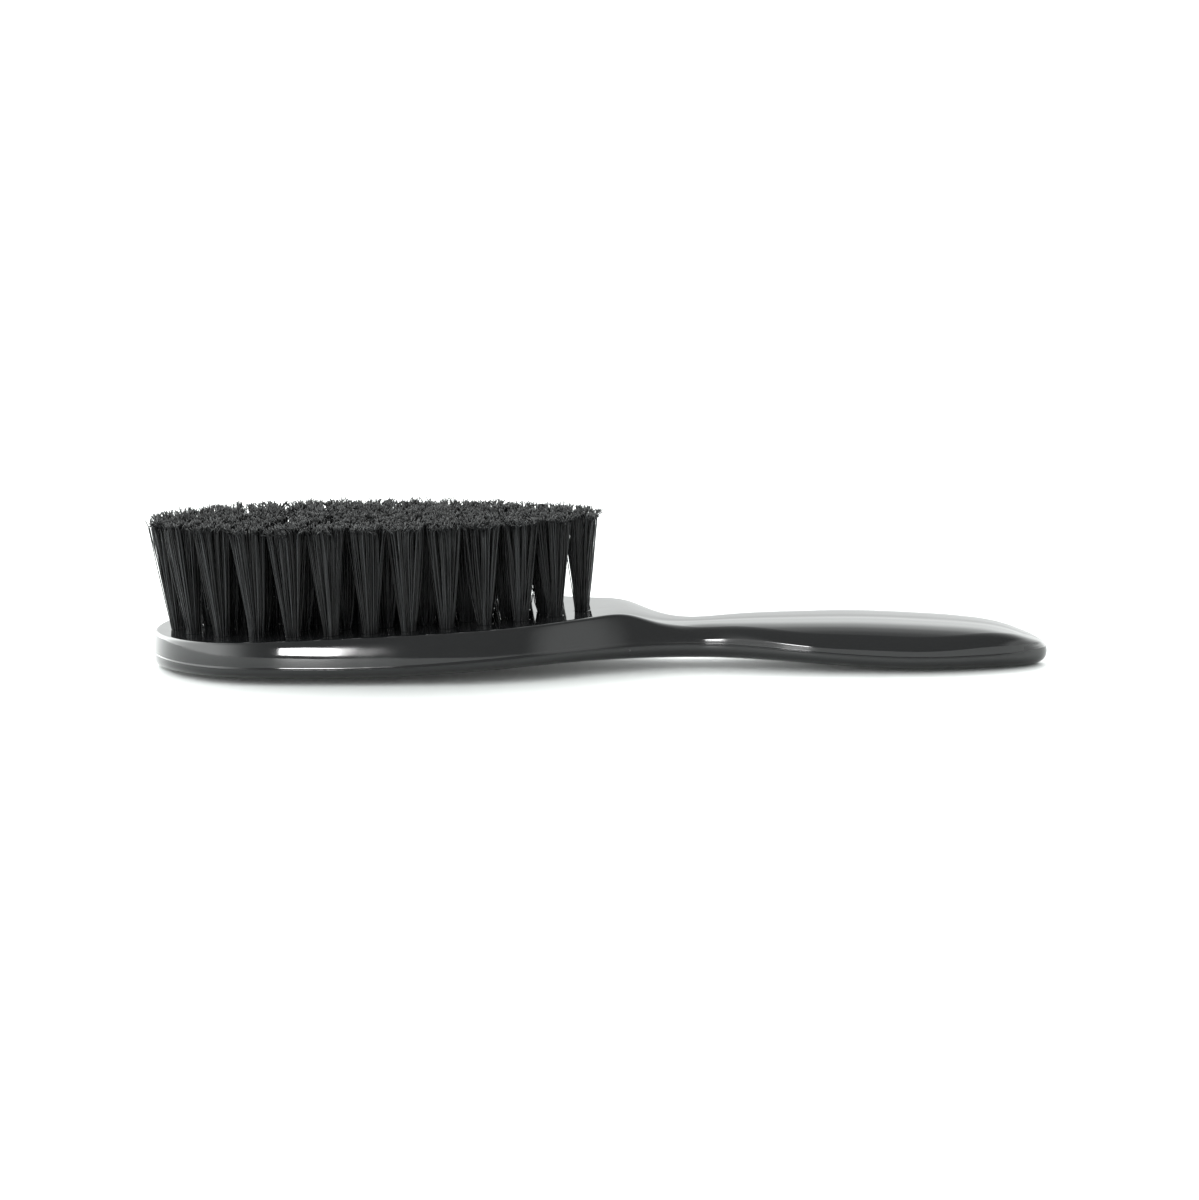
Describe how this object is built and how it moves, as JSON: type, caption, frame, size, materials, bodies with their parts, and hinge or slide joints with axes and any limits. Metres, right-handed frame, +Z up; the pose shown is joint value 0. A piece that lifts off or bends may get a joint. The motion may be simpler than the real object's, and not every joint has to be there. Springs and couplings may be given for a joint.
{
  "type": "club hand brush",
  "caption": "Club-shaped hand brush: one-piece glossy moulded handle and oval head with trimmed nylon tufts held by flat wire anchors.",
  "frame": {"origin": "middle of the bottom of the brush as it lies on its back", "axes": "+X along the brush from the head to the handle tip, +Y across it, +Z up along the bristles"},
  "size_m": [0.1799, 0.05, 0.0315],
  "materials": {
    "moulded_body": "glossy black moulded plastic",
    "nylon_filament": "satin black nylon filament, trimmed flat",
    "anchor_wire": "drawn flat anchor wire"
  },
  "bodies": {
    "root": {"brush_body": "moulded_body", "centre_row_anchors": "anchor_wire", "centre_row_tufts": "nylon_filament", "inner_ring_anchors": "anchor_wire", "inner_ring_tufts": "nylon_filament", "outer_ring_anchors": "anchor_wire", "outer_tuft_01": "nylon_filament", "outer_tuft_02": "nylon_filament", "outer_tuft_03": "nylon_filament", "outer_tuft_04": "nylon_filament", "outer_tuft_05": "nylon_filament", "outer_tuft_06": "nylon_filament", "outer_tuft_07": "nylon_filament", "outer_tuft_08": "nylon_filament", "outer_tuft_09": "nylon_filament", "outer_tuft_10": "nylon_filament", "outer_tuft_11": "nylon_filament", "outer_tuft_12": "nylon_filament", "outer_tuft_13": "nylon_filament", "outer_tuft_14": "nylon_filament", "outer_tuft_15": "nylon_filament", "outer_tuft_16": "nylon_filament", "outer_tuft_17": "nylon_filament", "outer_tuft_18": "nylon_filament", "outer_tuft_19": "nylon_filament", "outer_tuft_20": "nylon_filament", "outer_tuft_21": "nylon_filament", "outer_tuft_22": "nylon_filament", "outer_tuft_23": "nylon_filament", "outer_tuft_24": "nylon_filament", "outer_tuft_25": "nylon_filament", "outer_tuft_26": "nylon_filament", "second_ring_anchors": "anchor_wire", "second_ring_tuft_01": "nylon_filament", "second_ring_tuft_02": "nylon_filament", "second_ring_tuft_03": "nylon_filament", "second_ring_tuft_04": "nylon_filament", "second_ring_tuft_05": "nylon_filament", "second_ring_tuft_06": "nylon_filament", "second_ring_tuft_07": "nylon_filament", "second_ring_tuft_08": "nylon_filament", "second_ring_tuft_09": "nylon_filament", "second_ring_tuft_10": "nylon_filament", "second_ring_tuft_11": "nylon_filament", "second_ring_tuft_12": "nylon_filament", "second_ring_tuft_13": "nylon_filament", "second_ring_tuft_14": "nylon_filament", "second_ring_tuft_15": "nylon_filament", "second_ring_tuft_16": "nylon_filament", "second_ring_tuft_17": "nylon_filament", "second_ring_tuft_18": "nylon_filament", "second_ring_tuft_19": "nylon_filament"}
  },
  "joints": []
}
